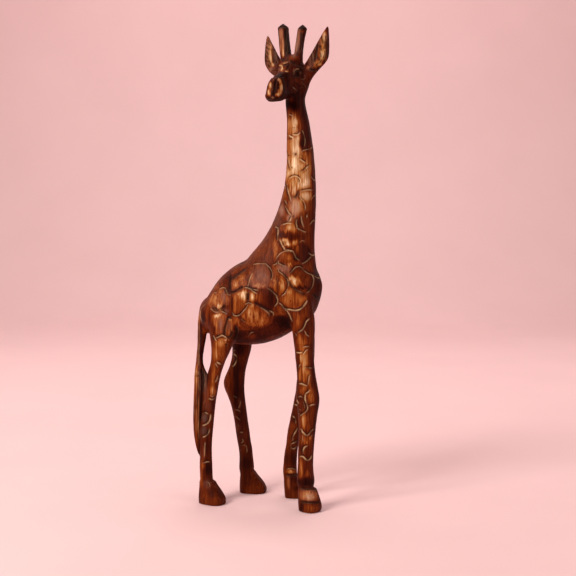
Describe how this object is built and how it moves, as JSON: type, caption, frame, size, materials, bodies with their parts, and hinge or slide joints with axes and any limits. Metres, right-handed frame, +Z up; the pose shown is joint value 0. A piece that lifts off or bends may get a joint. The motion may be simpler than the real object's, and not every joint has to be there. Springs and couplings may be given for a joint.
{
  "type": "carved giraffe statue",
  "caption": "Carved, stained and burnt wooden giraffe standing in a slow walk, long neck upright, head turned to its right, coat pattern cut in grooves.",
  "frame": {"origin": "on the floor, under the middle of the whole outline", "axes": "+X is the way the body faces, +Y is the giraffe's left, +Z is up"},
  "size_m": [0.198, 0.1108, 0.6835],
  "materials": {
    "carved_wood": "stained and burnt, brushed along the grain, satin lacquer",
    "burnt_wood": "dark burnt stain, satin lacquer",
    "ear_wood": "pale carved hollow with dark burnt rim, satin lacquer",
    "dowel_wood": "bare turned hardwood"
  },
  "bodies": {
    "root": {"torso": "carved_wood", "neck": "carved_wood", "front_left_leg": "carved_wood", "front_right_leg": "carved_wood", "hind_left_leg": "carved_wood", "hind_right_leg": "carved_wood", "head": "burnt_wood", "left_horn": "burnt_wood", "right_horn": "burnt_wood", "tail": "burnt_wood", "left_ear": "ear_wood", "right_ear": "ear_wood", "neck_dowel_front": "dowel_wood", "neck_dowel_rear": "dowel_wood", "head_dowel": "dowel_wood", "front_left_dowel": "dowel_wood", "front_right_dowel": "dowel_wood", "hind_left_dowel": "dowel_wood", "hind_right_dowel": "dowel_wood"}
  },
  "joints": []
}
